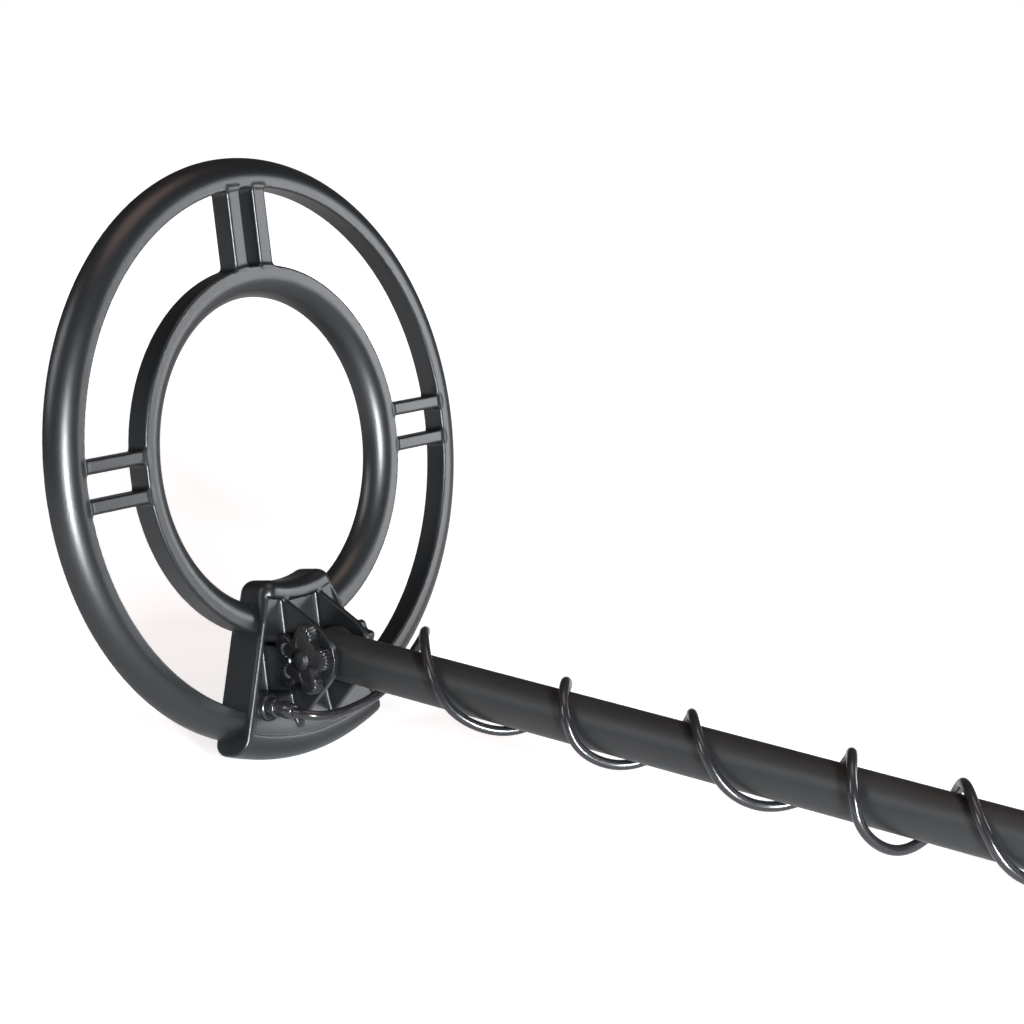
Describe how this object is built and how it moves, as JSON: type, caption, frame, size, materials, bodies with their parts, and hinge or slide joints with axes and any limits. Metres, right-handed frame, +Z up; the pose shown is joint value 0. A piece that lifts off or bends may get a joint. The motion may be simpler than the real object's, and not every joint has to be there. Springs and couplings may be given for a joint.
{
  "type": "metal detector",
  "caption": "Metal detector with an open two-ring spoked search coil on a tilting clevis, cable-wound telescoping rod, S-shaped grip tube, control housing and arm rest.",
  "frame": {"origin": "on the ground, at the centre of the footprint of the object without its cable", "axes": "+X runs along the rod from the coil to the handle, +Z is up, and Y is along the tilt axis of the coil"},
  "size_m": [1.1974, 0.2352, 0.2464],
  "materials": {
    "coil_plastic": "satin moulded",
    "gland_nylon": "gloss",
    "copper_wire": "enamelled copper",
    "knob_plastic": "satin",
    "rubber": "matte",
    "rod_composite": "satin",
    "black_anodised": "black anodised",
    "collet_nylon": "natural nylon",
    "steel": "plated",
    "foam": "closed-cell foam",
    "housing_plastic": "fine texture",
    "clear_window": "clear",
    "lcd": "display",
    "board": "solder mask",
    "speaker_cone": "paper",
    "cell_jacket": "printed-free jacket",
    "jack_nylon": "gloss",
    "ring_metal": "nickel",
    "key_rubber": "matte",
    "webbing": "woven",
    "cable_jacket": "gloss"
  },
  "bodies": {
    "handle_frame": {"middle_tube": "black_anodised", "upper_tube": "black_anodised", "rod_collet": "collet_nylon", "tube_collet": "collet_nylon", "tube_end_cap": "rubber", "foam_grip": "foam", "housing_lower_shell": "housing_plastic", "housing_upper_shell": "housing_plastic", "housing_saddle": "housing_plastic", "housing_clamp": "housing_plastic", "clamp_screws": "steel", "housing_screws": "steel", "display_window": "clear_window", "display_panel": "lcd", "control_pots": "steel", "circuit_board": "board", "speaker": "speaker_cone", "batteries": "cell_jacket", "door_pin": "steel", "headphone_jack": "jack_nylon", "coil_socket": "steel", "coil_plug": "knob_plastic", "button_spring": "steel", "cable_slide_turns": "cable_jacket", "cable_shaft_turns": "cable_jacket", "cable_ties": "webbing"},
    "rod": {"lower_rod": "rod_composite", "rod_end_plug": "knob_plastic", "cable_rod_turns": "cable_jacket"},
    "coil": {"coil_shell": "coil_plastic", "coil_base_cover": "coil_plastic", "transmit_winding": "copper_wire", "receive_winding": "copper_wire", "coil_mount": "coil_plastic", "cable_gland": "gland_nylon", "cable_sleeve": "rubber", "pivot_bolt": "knob_plastic", "pivot_washers": "rubber", "cable_lead": "cable_jacket"},
    "pivot_star_knob": {"pivot_knob": "knob_plastic"},
    "rod_collar": {"rod_lock_collar": "knob_plastic"},
    "tube_collar": {"tube_lock_collar": "knob_plastic"},
    "push_button": {"snap_button": "steel"},
    "key_1": {"panel_key_1": "key_rubber"},
    "key_2": {"panel_key_2": "key_rubber"},
    "key_3": {"panel_key_3": "key_rubber"},
    "key_4": {"panel_key_4": "key_rubber"},
    "key_pinpoint": {"pinpoint_key": "key_rubber"},
    "left_dial": {"sensitivity_knob": "knob_plastic"},
    "right_dial": {"discrimination_knob": "knob_plastic"},
    "door": {"battery_door": "housing_plastic"},
    "lock_ring": {"plug_lock_ring": "ring_metal"},
    "rest": {"arm_cuff": "housing_plastic", "cuff_pad": "foam", "arm_strap": "webbing", "cuff_bolt": "steel", "stand": "rod_composite", "stand_feet": "rubber"},
    "rest_knob": {"cuff_knob": "knob_plastic"}
  },
  "joints": [
    {"name": "rod_slide", "type": "slide", "parent": "handle_frame", "child": "rod", "axis": [1, 0, 0], "range_m": [-0.06, 0.13], "deforming": ["cable_slide_turns"]},
    {"name": "coil_tilt", "type": "hinge", "parent": "rod", "child": "coil", "pos_m": [-0.53737, 0, 0.04471], "axis": [0, 1, 0], "range_deg": [-60, 70], "deforming": ["cable_lead"]},
    {"name": "pivot_knob_turn", "type": "hinge", "parent": "coil", "child": "pivot_star_knob", "pos_m": [-0.53737, -0.015, 0.04471], "axis": [0, 1, 0], "continuous": true},
    {"name": "rod_collar_twist", "type": "hinge", "parent": "handle_frame", "child": "rod_collar", "pos_m": [-0.18237, 0, 0.04471], "axis": [1, 0, 0], "range_deg": [0, 60]},
    {"name": "tube_collar_twist", "type": "hinge", "parent": "handle_frame", "child": "tube_collar", "pos_m": [0.03763, 0, 0.04471], "axis": [1, 0, 0], "range_deg": [0, 60]},
    {"name": "snap_button_press", "type": "slide", "parent": "handle_frame", "child": "push_button", "axis": [0, 0, -1], "range_m": [0, 0.004], "stiffness_N_per_m": 600, "deforming": ["button_spring"]},
    {"name": "key_1_press", "type": "slide", "parent": "handle_frame", "child": "key_1", "axis": [-0.2676, 0, -0.9635], "range_m": [0, 0.0015], "stiffness_N_per_m": 400},
    {"name": "key_2_press", "type": "slide", "parent": "handle_frame", "child": "key_2", "axis": [-0.2676, 0, -0.9635], "range_m": [0, 0.0015], "stiffness_N_per_m": 400},
    {"name": "key_3_press", "type": "slide", "parent": "handle_frame", "child": "key_3", "axis": [-0.2676, 0, -0.9635], "range_m": [0, 0.0015], "stiffness_N_per_m": 400},
    {"name": "key_4_press", "type": "slide", "parent": "handle_frame", "child": "key_4", "axis": [-0.2676, 0, -0.9635], "range_m": [0, 0.0015], "stiffness_N_per_m": 400},
    {"name": "pinpoint_press", "type": "slide", "parent": "handle_frame", "child": "key_pinpoint", "axis": [-0.2676, 0, -0.9635], "range_m": [0, 0.0015], "stiffness_N_per_m": 400},
    {"name": "sensitivity_turn", "type": "hinge", "parent": "handle_frame", "child": "left_dial", "pos_m": [0.33088, 0.028, 0.22658], "axis": [0.2676, 0, 0.9635], "range_deg": [-140, 140]},
    {"name": "discrimination_turn", "type": "hinge", "parent": "handle_frame", "child": "right_dial", "pos_m": [0.33088, -0.028, 0.22658], "axis": [0.2676, 0, 0.9635], "range_deg": [-140, 140]},
    {"name": "battery_door_open", "type": "hinge", "parent": "handle_frame", "child": "door", "pos_m": [0.22102, -0.0145, 0.18491], "axis": [0, -1, 0], "range_deg": [0, 100]},
    {"name": "lock_ring_turn", "type": "hinge", "parent": "handle_frame", "child": "lock_ring", "pos_m": [0.21082, 0.032, 0.19441], "axis": [1, 0, 0], "continuous": true},
    {"name": "arm_rest_slide", "type": "slide", "parent": "handle_frame", "child": "rest", "axis": [0.9511, 0, -0.309], "range_m": [-0.02, 0.02]},
    {"name": "cuff_knob_turn", "type": "hinge", "parent": "rest", "child": "rest_knob", "pos_m": [0.49352, 0, 0.0742], "axis": [0.309, 0, 0.9511], "continuous": true}
  ]
}
